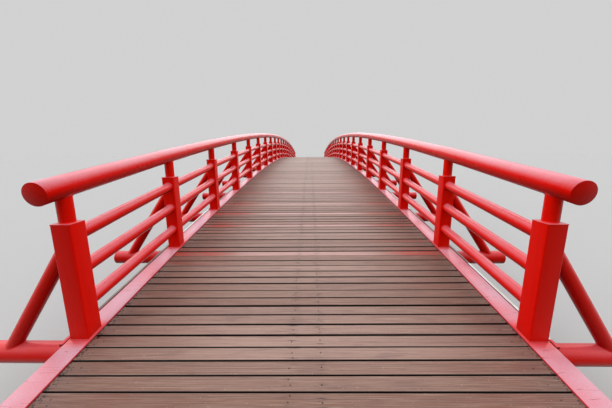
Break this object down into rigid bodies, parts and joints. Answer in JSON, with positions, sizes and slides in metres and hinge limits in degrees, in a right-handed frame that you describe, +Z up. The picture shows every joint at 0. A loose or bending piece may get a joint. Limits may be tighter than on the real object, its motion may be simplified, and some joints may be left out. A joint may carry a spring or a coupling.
{
  "type": "arched moon bridge with tube railings",
  "caption": "Low arched footbridge: curved steel girders, crosswise board deck, square posts with round handrails and rails, braced from outriggers at each post.",
  "frame": {"origin": "centre of the bridge's length and width, on the ground that the abutments stand on", "axes": "+Y along the bridge from the near end to the far end, +X across it to the right, +Z up"},
  "size_m": [4.9, 31.988, 2.9009],
  "materials": {
    "red_paint": "glossy red enamel over steel, dirty at the feet, chipped here and there",
    "deck_boards": "reddish-brown stained boards, fine grooves, weathered",
    "joist_paint": "dull red primer",
    "light_bar": "pale anodised channel with a milky strip on top",
    "bearing_steel": "dark grey painted steel wedges",
    "concrete": "plain cast concrete"
  },
  "bodies": {
    "root": {"deck_section_1": "deck_boards", "deck_section_2": "deck_boards", "deck_section_3": "deck_boards", "deck_section_4": "deck_boards", "deck_section_5": "deck_boards", "deck_section_6": "deck_boards", "deck_section_7": "deck_boards", "far_abutment": "concrete", "far_bearings": "bearing_steel", "far_end_beam": "red_paint", "floor_beams": "red_paint", "left_bottom_rails": "red_paint", "left_braces": "red_paint", "left_centre_joists": "joist_paint", "left_girder": "red_paint", "left_handrail": "red_paint", "left_light_bars": "light_bar", "left_middle_rails": "red_paint", "left_outer_joists": "joist_paint", "left_outriggers": "red_paint", "left_post_stubs": "red_paint", "left_posts": "red_paint", "left_top_rails": "red_paint", "near_abutment": "concrete", "near_bearings": "bearing_steel", "near_end_beam": "red_paint", "right_bottom_rails": "red_paint", "right_braces": "red_paint", "right_centre_joists": "joist_paint", "right_girder": "red_paint", "right_handrail": "red_paint", "right_light_bars": "light_bar", "right_middle_rails": "red_paint", "right_outer_joists": "joist_paint", "right_outriggers": "red_paint", "right_post_stubs": "red_paint", "right_posts": "red_paint", "right_top_rails": "red_paint"}
  },
  "joints": []
}
